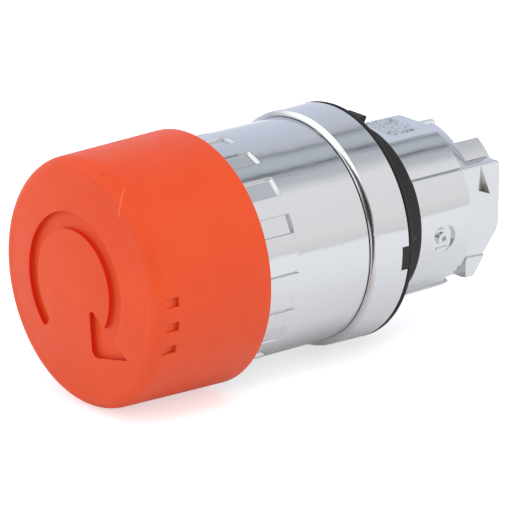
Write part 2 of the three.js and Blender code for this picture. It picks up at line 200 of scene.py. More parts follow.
cap_face_y = CAP_CROWN_Y + CAP_WALL
cap_side_y = cap_skin(0)[-1][1]
cap_outline = cap_skin(0)
for i in range(1, 13):
    share = i / 12
    cap_outline.append((CAP_FRONT_R + (CAP_RIM_R - CAP_FRONT_R) * share,
                        cap_side_y + (CAP_RIM_Y - CAP_RIM_ROUND - cap_side_y) * share))
cap_outline += arc(CAP_RIM_R - CAP_RIM_ROUND, CAP_RIM_Y - CAP_RIM_ROUND, CAP_RIM_ROUND, 0, 90, 5)[1:]
cap_outline += [(CAP_BORE_R + CAP_LIP, CAP_RIM_Y), (CAP_BORE_R, CAP_RIM_Y - CAP_LIP),
                (CAP_BORE_R, cap_face_y + CAP_FILLET), (CAP_BORE_R - CAP_FILLET, cap_face_y),
                (CAP_RING_R, cap_face_y), (CAP_RING_R, cap_face_y + CAP_RING_TALL),
                (CAP_RING_BORE_R, cap_face_y + CAP_RING_TALL), (CAP_RING_BORE_R, cap_face_y),
                (0, cap_face_y)]
cap_shape = turned(cap_outline, CAP_STEPS)


def rounded(corners):
    """A flat outline of (x, z, radius) corners with each one rounded to its own radius."""
    points = []
    for i, (x, z, radius) in enumerate(corners):
        here = Vector((x, z))
        before = Vector(corners[i - 1][:2]) - here
        after = Vector(corners[(i + 1) % len(corners)][:2]) - here
        if radius == 0:
            points.append(tuple(here))
            continue
        half = before.angle(after) / 2
        reach = radius / math.tan(half)
        start = here + before.normalized() * reach
        end = here + after.normalized() * reach
        centre = here + (before.normalized() + after.normalized()).normalized() * radius / math.sin(half)
        swing = (start - centre).angle_signed(end - centre)
        for step in range(9):
            points.append(tuple(centre + Matrix.Rotation(-swing * step / 8, 2) @ (start - centre)))
    return points


# The arrow's outline runs along the outer edge of its band, round its head and back along the inner edge.
hypotenuse = Vector(ARROW_BARBS[2]) - Vector(ARROW_BARBS[0])


def band_meets_head(radius):
    """The angle in degrees at which the band's edge runs into the long side of the head."""
    angle = ARROW_HEAD
    while True:
        point = Vector((math.cos(math.radians(angle)), math.sin(math.radians(angle)))) * radius
        if hypotenuse.cross(point - Vector(ARROW_BARBS[0])) < 0:
            return angle
        angle -= 0.1


arrow_outline = []
for radius, turn in ((ARROW_OUTER_R, 1), (ARROW_INNER_R, -1)):
    tail = ARROW_TAIL - ARROW_TAIL_ROOM
    head = band_meets_head(radius) + ARROW_JOIN_ROOM
    angles = [tail + (head - tail) * i / 150 for i in range(151)][::turn]
    edge = [(radius * math.cos(math.radians(a)), radius * math.sin(math.radians(a)), 0) for a in angles]
    square = [(radius * math.cos(math.radians(a)), radius * math.sin(math.radians(a)), corner)
              for a, corner in ((ARROW_TAIL, ARROW_TAIL_ROUND),
                                (band_meets_head(radius), ARROW_JOIN_ROUND))][::turn]
    arrow_outline += [square[0]] + edge + [square[1]]
    if turn == 1:
        arrow_outline += [(x, z, corner) for (x, z), corner in zip(ARROW_BARBS, ARROW_BARB_ROUNDS)][::-1]
arrow_cutter = slab([(x, CAP_CROWN_Y - 1, z) for x, z in rounded(arrow_outline)], (0, 4, 0))
arrow_floor = turned(cap_skin(ARROW_DEPTH) + [(CAP_FRONT_R, CAP_RIM_Y), (0, CAP_RIM_Y)], CAP_STEPS)
arrow_cutter = carved(arrow_cutter, arrow_floor)
cap_shape = carved(cap_shape, arrow_cutter)

for angle in TICK_ANGLES:
    wedge = slab([(-TICK_WIDE / 2, TICK_BACK_Y, CAP_FRONT_R - TICK_DEEP),
                  (-TICK_WIDE / 2, TICK_BACK_Y - TICK_LONG, CAP_FRONT_R - TICK_FRONT_DEEP),
                  (-TICK_WIDE / 2, TICK_BACK_Y - TICK_LONG, CAP_FRONT_R + 1),
                  (-TICK_WIDE / 2, TICK_BACK_Y, CAP_FRONT_R + 1)], (TICK_WIDE, 0, 0))
    bmesh.ops.rotate(wedge, verts=wedge.verts, cent=(0, 0, 0),
                     matrix=Matrix.Rotation(math.radians(angle), 3, "Y"))
    cap_shape = carved(cap_shape, wedge)

bmesh.ops.remove_doubles(cap_shape, verts=cap_shape.verts, dist=0.01 * MM)


def on_arrow(edge):
    """True for the lip, the corners and the floor edge of the sunk arrow."""
    middle = (edge.verts[0].co + edge.verts[1].co) / 2
    return math.hypot(middle.x, middle.z) < ARROW_REACH_R * MM \
        and middle.y < (CAP_CROWN_Y + ARROW_BELOW_CROWN) * MM


soften(cap_shape, 0.07, 2, 40, on_arrow)


def on_tick(edge):
    """True for the lips and corners of the pointer marks in the mushroom's side."""
    middle = (edge.verts[0].co + edge.verts[1].co) / 2
    return middle.x > 13 * MM and (TICK_BACK_Y - TICK_LONG - 0.3) * MM < middle.y < (TICK_BACK_Y + 0.2) * MM


soften(cap_shape, 0.05, 2, 30, on_tick)


def node(tree, kind, **settings):
    """A shader node with its settings and its plain input values filled in."""
    made = tree.nodes.new(kind)
    for name, value in settings.items():
        if hasattr(made, name):
            setattr(made, name, value)
        else:
            made.inputs[name].default_value = value
    return made


def effect(name, takes, gives):
    """An empty shader group: its tree, its input node and its output node."""
    tree = bpy.data.node_groups.new(name, "ShaderNodeTree")
    for label, kind, value in takes:
        socket = tree.interface.new_socket(name=label, in_out="INPUT", socket_type=kind)
        socket.default_value = value
    for label, kind in gives:
        tree.interface.new_socket(name=label, in_out="OUTPUT", socket_type=kind)
    return tree, tree.nodes.new("NodeGroupInput"), tree.nodes.new("NodeGroupOutput")


def mixed(tree, factor, a, b, blend="MIX"):
    """Mixes two colours, each a socket or a plain colour, by a socket or a plain factor."""
    mix = tree.nodes.new("ShaderNodeMix")
    mix.data_type = "RGBA"
    mix.blend_type = blend
    for socket, value in ((mix.inputs[0], factor), (mix.inputs[6], a), (mix.inputs[7], b)):
        if isinstance(value, bpy.types.NodeSocket):
            tree.links.new(value, socket)
        else:
            socket.default_value = value
    return mix.outputs[2]


def maths(tree, operation, *values, clamp=False):
    """One arithmetic node over sockets and plain numbers."""
    made = tree.nodes.new("ShaderNodeMath")
    made.operation = operation
    made.use_clamp = clamp
    for socket, value in zip(made.inputs, values):
        if isinstance(value, bpy.types.NodeSocket):
            tree.links.new(value, socket)
        else:
            socket.default_value = value
    return made.outputs[0]


def noise(tree, vector, scale, detail=3.0, rough=0.5):
    """A noise value about 0.5 over a vector."""
    made = node(tree, "ShaderNodeTexNoise", Scale=scale, Detail=detail, Roughness=rough)
    tree.links.new(vector, made.inputs["Vector"])
    return made.outputs["Fac"]


def ramped(tree, value, low, high):
    """A value stretched so that low becomes 0 and high becomes 1, held between them."""
    made = node(tree, "ShaderNodeMapRange")
    made.inputs["From Min"].default_value = low
    made.inputs["From Max"].default_value = high
    tree.links.new(value, made.inputs["Value"])
    return made.outputs["Result"]


def moulded_surface():
    """Moulded plastic or rubber: a fine sparked grain, soft colour drift, faint specks."""
    tree, takes, gives = effect(
        "moulded_surface",
        [("Colour", "NodeSocketColor", (0.5, 0.5, 0.5, 1)),
         ("Deep Colour", "NodeSocketColor", (0.3, 0.3, 0.3, 1)),
         ("Speck Colour", "NodeSocketColor", (0.2, 0.2, 0.2, 1)), ("Roughness", "NodeSocketFloat", 0.5),
         ("Grain", "NodeSocketFloat", 0.004)],
        [("Colour", "NodeSocketColor"), ("Roughness", "NodeSocketFloat"), ("Height", "NodeSocketFloat")])
    where = tree.nodes.new("ShaderNodeTexCoord").outputs["Object"]
    drift = noise(tree, where, 95, 4)
    grain = noise(tree, where, 5200, 2, 0.6)
    colour = mixed(tree, ramped(tree, drift, 0.3, 0.72), takes.outputs["Colour"],
                   takes.outputs["Deep Colour"])
    mottle = maths(tree, "MULTIPLY", ramped(tree, grain, 0.35, 0.7), 0.22)
    colour = mixed(tree, mottle, colour, takes.outputs["Deep Colour"])
    cells = node(tree, "ShaderNodeTexVoronoi", Scale=260)
    tree.links.new(where, cells.inputs["Vector"])
    split = tree.nodes.new("ShaderNodeSeparateColor")
    tree.links.new(cells.outputs["Color"], split.inputs[0])
    speck = maths(tree, "MULTIPLY", maths(tree, "LESS_THAN", cells.outputs["Distance"], 0.055),
                  maths(tree, "GREATER_THAN", split.outputs[0], 0.86))
    colour = mixed(tree, maths(tree, "MULTIPLY", speck, 0.4), colour, takes.outputs["Speck Colour"])
    rough = maths(tree, "ADD", takes.outputs["Roughness"],
                  maths(tree, "MULTIPLY", maths(tree, "SUBTRACT", noise(tree, where, 420, 3), 0.5), 0.22))
    height = maths(tree, "MULTIPLY", grain, takes.outputs["Grain"])
    tree.links.new(colour, gives.inputs["Colour"])
    tree.links.new(rough, gives.inputs["Roughness"])
    tree.links.new(height, gives.inputs["Height"])
    return tree


moulded = moulded_surface()


def finish_base(name):
    """A new material with one Principled shader: the tree and the shader."""
    material = bpy.data.materials.new(name)
    material.use_nodes = True
    tree = material.node_tree
    return material, tree, tree.nodes["Principled BSDF"]


def wired(tree, group, shader, colour="Colour"):
    """Feeds a shader's colour, roughness and bump from a surface group."""
    tree.links.new(group.outputs[colour], shader.inputs["Base Color"])
    tree.links.new(group.outputs["Roughness"], shader.inputs["Roughness"])
    bump = node(tree, "ShaderNodeBump", Distance=MM)
    bump.inputs["Strength"].default_value = 1
    tree.links.new(group.outputs["Height"], bump.inputs["Height"])
    tree.links.new(bump.outputs["Normal"], shader.inputs["Normal"])


def moulded_finish(name, colour, deep, speck, rough, grain, specular=0.5):
    """A moulded plastic or rubber finish."""
    material, tree, shader = finish_base(name)
    group = tree.nodes.new("ShaderNodeGroup")
    group.node_tree = moulded
    group.inputs["Colour"].default_value = (*colour, 1)
    group.inputs["Deep Colour"].default_value = (*deep, 1)
    group.inputs["Speck Colour"].default_value = (*speck, 1)
    group.inputs["Roughness"].default_value = rough
    group.inputs["Grain"].default_value = grain
    shader.inputs["Specular IOR Level"].default_value = specular
    wired(tree, group, shader)
    return material


def groove_shade():
    """The mushroom's colour with painted shade, a deeper red, on the arrow's walls and one pale hairline
    scratch.
    """
    tree, takes, gives = effect("groove_shade", [("Colour", "NodeSocketColor", (0.8, 0.1, 0.02, 1)),
                                                 ("Wall Shade Colour", "NodeSocketColor", (0.5, 0.01, 0.002, 1))],
                                [("Colour", "NodeSocketColor")])
    axes = node(tree, "ShaderNodeSeparateXYZ")
    tree.links.new(tree.nodes.new("ShaderNodeTexCoord").outputs["Object"], axes.inputs[0])
    squared = [maths(tree, "MULTIPLY", axes.outputs[name], axes.outputs[name]) for name in "XZ"]
    reach = maths(tree, "ADD", *squared)
    dome = maths(tree, "ADD", maths(tree, "DIVIDE", reach, 2 * CAP_DOME_R * MM), CAP_CROWN_Y * MM)
    depth = maths(tree, "SUBTRACT", axes.outputs["Y"], dome)
    # Painted shade: the walls of the sunk arrow, between its lip and its floor, take a deeper red.
    wall = maths(tree, "MULTIPLY", ramped(tree, depth, 0.02 * MM, 0.09 * MM),
                 maths(tree, "SUBTRACT", 1, ramped(tree, depth, 0.3 * MM, (ARROW_DEPTH - 0.04) * MM)))
    wall = maths(tree, "MULTIPLY", wall, maths(tree, "LESS_THAN", reach, ((ARROW_REACH_R + 0.5) * MM) ** 2))
    colour = mixed(tree, wall, takes.outputs["Colour"], takes.outputs["Wall Shade Colour"])
    # One pale hairline scratch runs over the front edge, high on the right.
    along = node(tree, "ShaderNodeVectorMath", operation="SUBTRACT")
    along.inputs[1].default_value = SCRATCH_FROM * MM
    tree.links.new(tree.nodes["Texture Coordinate"].outputs["Object"], along.inputs[0])
    line = (SCRATCH_TO - SCRATCH_FROM).normalized()
    side = line.cross(Vector((0.5, -0.55, 0.67))).normalized()
    run = node(tree, "ShaderNodeVectorMath", operation="DOT_PRODUCT")
    run.inputs[1].default_value = line
    tree.links.new(along.outputs[0], run.inputs[0])
    off = node(tree, "ShaderNodeVectorMath", operation="DOT_PRODUCT")
    off.inputs[1].default_value = side
    tree.links.new(along.outputs[0], off.inputs[0])
    scratch = maths(tree, "LESS_THAN", maths(tree, "ABSOLUTE", off.outputs["Value"]), SCRATCH_HALF * MM)
    scratch = maths(tree, "MULTIPLY", scratch, maths(tree, "GREATER_THAN", run.outputs["Value"], 0))
    span = (SCRATCH_TO - SCRATCH_FROM).length * MM
    scratch = maths(tree, "MULTIPLY", scratch, maths(tree, "LESS_THAN", run.outputs["Value"], span))
    colour = mixed(tree, maths(tree, "MULTIPLY", scratch, 0.3), colour, (0.95, 0.42, 0.25, 1))
    tree.links.new(colour, gives.inputs["Colour"])
    return tree


# Where the red is met by other rays than the viewer's it is toned down, so that the bright plate
# and the table beside it do not turn red. Bounces inside the arrow are short and keep their red.
CAP_RED = (0.80, 0.078, 0.0115)
CAP_RED_DEEP = (0.74, 0.063, 0.008)
CAP_SPECK = (0.42, 0.03, 0.01)
# The deeper red of the arrow's walls is painted shade.
ARROW_WALL_SHADE = (0.82, 0.008, 0.0, 1)
TONED_RED = (0.13, 0.11, 0.105, 1)
GLOSSY_TONING = 0.98
BOUNCE_TONING = 0.8
BOUNCE_FROM = 0.004
cap_red = moulded_finish("cap_red", CAP_RED, CAP_RED_DEEP, CAP_SPECK, 0.47, 0.011, 0.36)
cap_tree = cap_red.node_tree
cap_shader = cap_tree.nodes["Principled BSDF"]
groove = cap_tree.nodes.new("ShaderNodeGroup")
groove.node_tree = groove_shade()
cap_tree.links.new(cap_shader.inputs["Base Color"].links[0].from_socket, groove.inputs["Colour"])
# The arrow's walls get their painted shade here.
groove.inputs["Wall Shade Colour"].default_value = ARROW_WALL_SHADE
light_path = node(cap_tree, "ShaderNodeLightPath").outputs
far = maths(cap_tree, "GREATER_THAN", light_path["Ray Length"], BOUNCE_FROM)
bounced = maths(cap_tree, "MULTIPLY", light_path["Is Diffuse Ray"], far)
bounced = maths(cap_tree, "MULTIPLY", bounced, BOUNCE_TONING)
mirrored = maths(cap_tree, "MULTIPLY", light_path["Is Glossy Ray"], GLOSSY_TONING)
toned = maths(cap_tree, "ADD", bounced, mirrored)
cap_colour = mixed(cap_tree, toned, groove.outputs["Colour"], TONED_RED)
cap_tree.links.new(cap_colour, cap_shader.inputs["Base Color"])
mushroom = settled("mushroom", cap_shape, cap_red)
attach(mushroom, "cap")
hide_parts("mushroom_cap")


# ---- Front sleeve ----------------------------------------------------------------------
# The 27 mm sleeve that the mushroom slides over is die cast in zinc and bright chromium plated.
# Eighteen shallow flat-floored slots run back from its front end, and its spigot is pressed
# into the housing.

SLEEVE_R = 13.5
SLEEVE_BORE_R = 11.9
SLEEVE_FRONT_Y = -31.4
SLEEVE_BACK_Y = -6.0
SPIGOT_R = 12.6
SPIGOT_BORE_R = 11.0
SPIGOT_Y = -3.5
SLEEVE_FRONT_ROUND = 0.4
SLEEVE_BACK_ROUND = 0.12
SLOT_COUNT = 18
SLOT_PITCH = 20
SLOT_SPAN = 10
SLOT_FLANK = 1.1
SLOT_FIRST = 2.8
SLOT_DEEP = 0.45
SLOT_DRAFT = 0.11
SLOT_END_DRAFT = 0.32
SLOT_BACK_Y = -16.6
SLEEVE_STEPS = 360

sleeve_rows = [-26.5, -21.5, SLOT_BACK_Y, -13.0, -9.5, SLEEVE_BACK_Y - SLEEVE_BACK_ROUND]
sleeve_outline = [(SLEEVE_BORE_R, SLEEVE_FRONT_Y)]
sleeve_outline += arc(SLEEVE_R - SLEEVE_FRONT_ROUND, SLEEVE_FRONT_Y + SLEEVE_FRONT_ROUND,
                      SLEEVE_FRONT_ROUND, -90, 0, 4)
sleeve_outline += [(SLEEVE_R, y) for y in sleeve_rows]
sleeve_outline += arc(SLEEVE_R - SLEEVE_BACK_ROUND, SLEEVE_BACK_Y - SLEEVE_BACK_ROUND,
                      SLEEVE_BACK_ROUND, 0, 90, 3)[1:]
sleeve_outline += [(SPIGOT_R, SLEEVE_BACK_Y), (SPIGOT_R, SPIGOT_Y), (SPIGOT_BORE_R, SPIGOT_Y),
                   (SPIGOT_BORE_R, SLEEVE_BACK_Y), (SLEEVE_BORE_R, SLEEVE_BACK_Y)]
sleeve_shape = turned(sleeve_outline, SLEEVE_STEPS)
slot_turn = math.radians(SLOT_FIRST - SLOT_SPAN / 2)
bmesh.ops.rotate(sleeve_shape, verts=sleeve_shape.verts, cent=(0, 0, 0),
                 matrix=Matrix.Rotation(slot_turn, 3, "Y"))

# Each slot takes the skin facets of ten degrees in every twenty and sinks them to a flat floor.
slot_faces = {}
for face in sleeve_shape.faces:
    middle = face.calc_center_median()
    if math.hypot(middle.x, middle.z) > (SLEEVE_R - 0.45) * MM and middle.y < SLOT_BACK_Y * MM:
        clock = math.degrees(math.atan2(middle.x, middle.z)) - SLOT_FIRST
        index = round(clock / SLOT_PITCH)
        if abs(clock - SLOT_PITCH * index) < SLOT_SPAN / 2:
            slot_faces.setdefault(index % SLOT_COUNT, []).append(face)
for index, faces in sorted(slot_faces.items()):
    turn = math.radians(SLOT_FIRST + SLOT_PITCH * index)
    out = Vector((math.sin(turn), 0, math.cos(turn)))
    along = Vector((math.cos(turn), 0, -math.sin(turn)))
    sunk = bmesh.ops.extrude_face_region(sleeve_shape, geom=faces)
    for vert in [p for p in sunk["geom"] if isinstance(p, bmesh.types.BMVert)]:
        across = vert.co.dot(along)
        back = SLOT_END_DRAFT * MM if vert.co.y > (SLOT_BACK_Y - 0.1) * MM else 0
        if abs(across) > SLOT_FLANK * MM:
            across -= math.copysign(SLOT_DRAFT * MM, across)
        vert.co = along * across + out * (SLEEVE_R - SLOT_DEEP) * MM + Vector((0, vert.co.y - back, 0))
    bmesh.ops.delete(sleeve_shape, geom=faces, context="FACES")
tidy(sleeve_shape)


def on_slot(edge):
    """True for the lips and the end corners of the slots, behind the mushroom's rim."""
    middle = (edge.verts[0].co + edge.verts[1].co) / 2
    return (SLEEVE_FRONT_Y + 0.6) * MM < middle.y < (SLOT_BACK_Y + 0.1) * MM and \
        math.hypot(middle.x, middle.z) > (SLEEVE_R - SLOT_DEEP - 0.15) * MM


def on_slot_end(edge):
    """True for the lip across the rear end of a slot."""
    return on_slot(edge) and edge.verts[0].co.y + edge.verts[1].co.y > 2 * (SLOT_BACK_Y - 0.05) * MM


soften(sleeve_shape, 0.1, 3, 30, on_slot_end)
soften(sleeve_shape, 0.05, 2, 50, on_slot)


def plated_surface():
    """Bright plate on a die casting: orange peel, drawn flow marks, pits and dulled patches."""
    tree, takes, gives = effect(
        "plated_surface",
        [("Colour", "NodeSocketColor", (0.7, 0.7, 0.7, 1)), ("Roughness", "NodeSocketFloat", 0.12),
         ("Peel", "NodeSocketFloat", 0.003), ("Pits", "NodeSocketFloat", 0.004)],
        [("Colour", "NodeSocketColor"), ("Roughness", "NodeSocketFloat"), ("Height", "NodeSocketFloat")])
    where = tree.nodes.new("ShaderNodeTexCoord").outputs["Object"]
    stretch = tree.nodes.new("ShaderNodeMapping")
    stretch.inputs["Scale"].default_value = (1, 0.22, 1)
    tree.links.new(where, stretch.inputs["Vector"])
    flow = noise(tree, stretch.outputs[0], 420, 3)
    peel = noise(tree, where, 900, 2)
    wave = noise(tree, where, 240, 1)
    patch = ramped(tree, noise(tree, where, 260, 4), 0.42, 0.66)
    fine = noise(tree, where, 7000, 2, 0.7)
    cells = node(tree, "ShaderNodeTexVoronoi", Scale=1500)
    tree.links.new(where, cells.inputs["Vector"])
    split = tree.nodes.new("ShaderNodeSeparateColor")
    tree.links.new(cells.outputs["Color"], split.inputs[0])
    some = maths(tree, "GREATER_THAN", split.outputs[0], 0.6)
    core = maths(tree, "SUBTRACT", 1, ramped(tree, cells.outputs["Distance"], 0.0, 0.3))
    pit = maths(tree, "MULTIPLY", core, some)
    pit = maths(tree, "MULTIPLY", pit, patch)
    height = maths(tree, "MULTIPLY", maths(tree, "ADD", flow, maths(tree, "MULTIPLY", peel, 0.5)),
                   takes.outputs["Peel"])
    swell = maths(tree, "MULTIPLY", wave, maths(tree, "MULTIPLY", takes.outputs["Peel"], 9))
    height = maths(tree, "ADD", height, swell)
    height = maths(tree, "SUBTRACT", height, maths(tree, "MULTIPLY", pit, takes.outputs["Pits"]))
    height = maths(tree, "ADD", height, maths(tree, "MULTIPLY", maths(tree, "MULTIPLY", fine, patch), 0.0006))
    rough = maths(tree, "ADD", takes.outputs["Roughness"], maths(tree, "MULTIPLY", patch, 0.07))
    rough = maths(tree, "ADD", rough, maths(tree, "MULTIPLY", pit, 0.25))
    dark = mixed(tree, 1.0, takes.outputs["Colour"], (0.62, 0.62, 0.63, 1), "MULTIPLY")
    colour = mixed(tree, maths(tree, "MULTIPLY", pit, 0.6), takes.outputs["Colour"], dark)
    tree.links.new(colour, gives.inputs["Colour"])
    tree.links.new(rough, gives.inputs["Roughness"])
    tree.links.new(height, gives.inputs["Height"])
    return tree


plated = plated_surface()


def metal_finish(name, colour, rough, peel, pits):
    """A metal finish on the plated surface."""
    material, tree, shader = finish_base(name)
    group = tree.nodes.new("ShaderNodeGroup")
    group.node_tree = plated
    group.inputs["Colour"].default_value = (*colour, 1)
    group.inputs["Roughness"].default_value = rough
    group.inputs["Peel"].default_value = peel
    group.inputs["Pits"].default_value = pits
    shader.inputs["Metallic"].default_value = 1
    wired(tree, group, shader)
    return material


chrome = metal_finish("bright_chrome", (0.685, 0.69, 0.70), 0.07, 0.0045, 0.012)
sleeve = settled("sleeve_casting", sleeve_shape, chrome)
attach(sleeve, "body")
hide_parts("front_sleeve")


# ---- Housing ---------------------------------------------------------------------------
# The housing is one zinc die casting, bright chromium plated: a 28.6 mm collar in front of the panel
# and a 20.7 mm barrel behind it. Lands at both sides and a keel below steady it in the panel hole,
# and the fixing collar grips the two blocks at its rear end.

COLLAR_FRONT_Y = -5.9
COLLAR_FRONT_R = 14.23
COLLAR_SHOULDER_Y = -5.53
COLLAR_BACK_R = 14.33
COLLAR_BACK_Y = -0.6
COUNTER_R = 12.75
COUNTER_Y = -2.3
BARREL_R = 10.35
BARREL_BORE_R = 8.8
BARREL_END_Y = 13.5
RIM_START_Y = 12.5
RIM_END_Y = 14.05
RIM_R = 9.88
RIM_BORE_R = 9.2
REAR_WALL_Y = 11.6
REAR_BORE_R = 4.6
LAND_R = 11.0
LAND_Y = 4.15
LAND_END_Y = 12.1
LAND_TOP = 6.1
LAND_LOW = -7.8
KEEL_HALF = 6.6
KEEL_END_Y = 12.6
FLAT_Z = 9.6
BLOCK_OUTER_X = 9.0
BLOCK_LOW = -7.4
BLOCK_END_Y = 18.4
BLOCK_FRONT_Y = LAND_END_Y - 0.6
BLOCK_OUTLINE = [(BLOCK_FRONT_Y, BLOCK_LOW - 0.35), (14.1, BLOCK_LOW - 0.35), (14.5, BLOCK_LOW + 0.1),
                 (16, -5.3), (18.1, -2.8), (BLOCK_END_Y, -1.8), (BLOCK_END_Y, LAND_TOP),
                 (BLOCK_FRONT_Y, LAND_TOP)]
RIDGE_LOW = 5.2
POCKET_MOUTH = [(15.15, 6.0), (16.75, 2.1), (14.85, 2.85)]
POCKET_DEEPEST = (16.65, 2.25)
POCKET_DEEP = 1.3
LUG_OUTLINE = [(12.75, -7.7), (14.1, -7.7), (14.45, -7.3), (15.9, -5.3), (13.1, -5.1), (12.75, -5.35)]
LUG_ROOT = 0.5
LUG_THICK = 0.85
RECESS_OUTLINE = [(12.8, -5.2), (12.8, -8.6), (10.0, -8.6), (10.6, -7.5)]
RECESS_X = 7.7
RECESS_TOP_X = 8.3
RECESS_LEAN = 0.385
MARK_PLACE = (LAND_R + 0.05, 7.75, -1.2)
PATCH_PLACE = (-0.7, 9.3, FLAT_Z)
PATCH_SIZE = (2.8, 2.2)
PATCH_BORDER = 0.05
PATCH_TALL = (0.02, 0.2)
NOTCH_HALF = 1.45
NOTCH_TURN = 93.3

housing_outline = [(COUNTER_R, COLLAR_FRONT_Y + 0.5), (SLEEVE_R - 0.2, COLLAR_FRONT_Y + 0.5),
                   (SLEEVE_R, COLLAR_FRONT_Y), (13.62, COLLAR_FRONT_Y + 0.03),
                   (14.14, COLLAR_SHOULDER_Y - 0.05)]
housing_outline += arc(COLLAR_FRONT_R - 0.08, COLLAR_SHOULDER_Y + 0.04, 0.08, -45, 0, 4)
housing_outline += [(14.28, -3.2)]
housing_outline += arc(COLLAR_BACK_R - 0.2, COLLAR_BACK_Y - 0.2, 0.2, 0, 90, 4)
housing_outline += [(BARREL_R, COLLAR_BACK_Y), (BARREL_R, 2.0), (BARREL_R, 5.5), (BARREL_R, 9.5)]
housing_outline += [(BARREL_R, RIM_START_Y - 0.15), (BARREL_R - 0.02, RIM_START_Y),
                    (RIM_R + 0.06, RIM_END_Y - 0.2), (RIM_R, RIM_END_Y - 0.06), (RIM_R - 0.1, RIM_END_Y),
                    (RIM_BORE_R, RIM_END_Y), (RIM_BORE_R, BARREL_END_Y), (REAR_BORE_R, BARREL_END_Y),
                    (REAR_BORE_R, REAR_WALL_Y), (BARREL_BORE_R, REAR_WALL_Y),
                    (BARREL_BORE_R, COUNTER_Y), (COUNTER_R, COUNTER_Y)]
housing_shape = turned(housing_outline, 288)


def prism(outline, y0, y1):
    """An outline of (x, z) in the front view, given depth along the axis."""
    return slab([(x, y0, z) for x, z in outline], (0, y1 - y0, 0))


def rim_points(radius, start, end, steps):
    """Points (x, z) on a circle about the axis, by angle in degrees from +X towards +Z."""
    return [(radius * math.cos(math.radians(start + (end - start) * i / steps)),
             radius * math.sin(math.radians(start + (end - start) * i / steps))) for i in range(steps + 1)]


def land_outline(side):
    """The section of one side land, from its low corner up round its crown."""
    top = math.degrees(math.asin(LAND_TOP / LAND_R))
    low = math.degrees(math.asin(LAND_LOW / LAND_R))
    crown = rim_points(LAND_R, low, top, 48)
    return [(side * x, z) for x, z in crown + [(7.2, LAND_TOP), (9.2, 0), (5.9, LAND_LOW)]]


for side in (1, -1):
    land = prism(land_outline(side), LAND_Y, LAND_END_Y)
    soften(land, 0.14, 2, 40)
    housing_shape = carved(housing_shape, land, "UNION")

keel_low = math.degrees(math.acos(KEEL_HALF / LAND_R))
keel_outline = rim_points(LAND_R, -180 + keel_low, -keel_low, 48) + [(5.2, -7.8), (0, -9.3), (-5.2, -7.8)]
keel = prism(keel_outline, LAND_Y, KEEL_END_Y)
soften(keel, 0.14, 2, 40)
housing_shape = carved(housing_shape, keel, "UNION")


def cuboid(x0, x1, y0, y1, z0, z1):
    """A plain block between two corners in millimetres, for cutting and for building up."""
    return slab([(x0, y0, z0), (x1, y0, z0), (x1, y0, z1), (x0, y0, z1)], (0, y1 - y0, 0))


housing_shape = carved(housing_shape, cuboid(-6, 6, LAND_Y, 20, FLAT_Z, 12))
housing_shape = carved(housing_shape, cuboid(-6, 1.2, 13.3, 20, 9.0, 12))
housing_shape = carved(housing_shape, cuboid(-3.8, 1.2, 12.2, 13.3, 9.0, FLAT_Z - 0.01), "UNION")
for side in (1, -1):
    flank = cuboid(*sorted((side * BLOCK_OUTER_X, side * 12)), LAND_END_Y, 20, -12, 12)
    housing_shape = carved(housing_shape, flank)


def block(side, inner_x, ridge_x, top_z, back_r):
    """One gripping block: its body, the rounded ridge on its top and the small lug on its flank."""
    body = slab([(inner_x * side, y, z) for y, z in BLOCK_OUTLINE], ((BLOCK_OUTER_X - inner_x) * side, 0, 0))
    soften(body, 0.75, 6, 60, lambda e: min(e.verts[0].co.y, e.verts[1].co.y) > 18.2 * MM
           and min(e.verts[0].co.z, e.verts[1].co.z) > 5 * MM)
    soften(body, 0.35, 4, 20, lambda e: side * (e.verts[0].co.x + e.verts[1].co.x) > 17.9 * MM)
    start = math.degrees(math.asin(RIDGE_LOW / back_r))
    end = math.degrees(math.asin(top_z / back_r))
    ridge_outline = rim_points(back_r, start, end, 14) + [(ridge_x, top_z), (ridge_x, RIDGE_LOW)]
    ridge = prism([(side * x, z) for x, z in ridge_outline], BLOCK_FRONT_Y, BLOCK_END_Y - 0.02)
    soften(ridge, 0.55, 5, 40, lambda e: e.verts[0].co.z + e.verts[1].co.z > 13.5 * MM
           and e.verts[0].co.y + e.verts[1].co.y > 26 * MM)
    body = carved(body, ridge, "UNION")
    pocket = bmesh.new()
    for y, z in POCKET_MOUTH:
        pocket.verts.new(Vector(((BLOCK_OUTER_X + 1) * side, y, z)) * MM)
        pocket.verts.new(Vector((BLOCK_OUTER_X * side, y, z)) * MM)
    pocket.verts.new(Vector(((BLOCK_OUTER_X - POCKET_DEEP) * side, *POCKET_DEEPEST)) * MM)
    bmesh.ops.convex_hull(pocket, input=pocket.verts)
    body = carved(body, tidy(pocket))
    lug = slab([((BLOCK_OUTER_X - LUG_ROOT) * side, y, z) for y, z in LUG_OUTLINE], (LUG_THICK * side, 0, 0))
    soften(lug, 0.2, 4, 30)
    return carved(body, lug, "UNION")


rear_bore = turned([(0, LAND_END_Y - 2), (REAR_BORE_R, LAND_END_Y - 2), (REAR_BORE_R, BARREL_END_Y),
                    (0, BARREL_END_Y)], 96)
blocks = carved(block(1, 4.7, 4.7, 7.85, 9.2), block(-1, 3.6, 2.95, 8.15, 9.0), "UNION")
blocks = carved(blocks, rear_bore)
housing_shape = carved(housing_shape, blocks, "UNION")

# A wedge of each land is left out in front of the lug; its inner face leans in towards the bottom.
for side in (1, -1):
    recess = slab([(RECESS_X * side, y, z) for y, z in RECESS_OUTLINE], (4 * side, 0, 0))
    for vert in recess.verts:
        if abs(vert.co.x) < (RECESS_X + 0.3) * MM:
            fall = RECESS_OUTLINE[0][1] * MM - vert.co.z
            vert.co.x += side * ((RECESS_TOP_X - RECESS_X) * MM - fall * RECESS_LEAN)
    housing_shape = carved(housing_shape, recess)

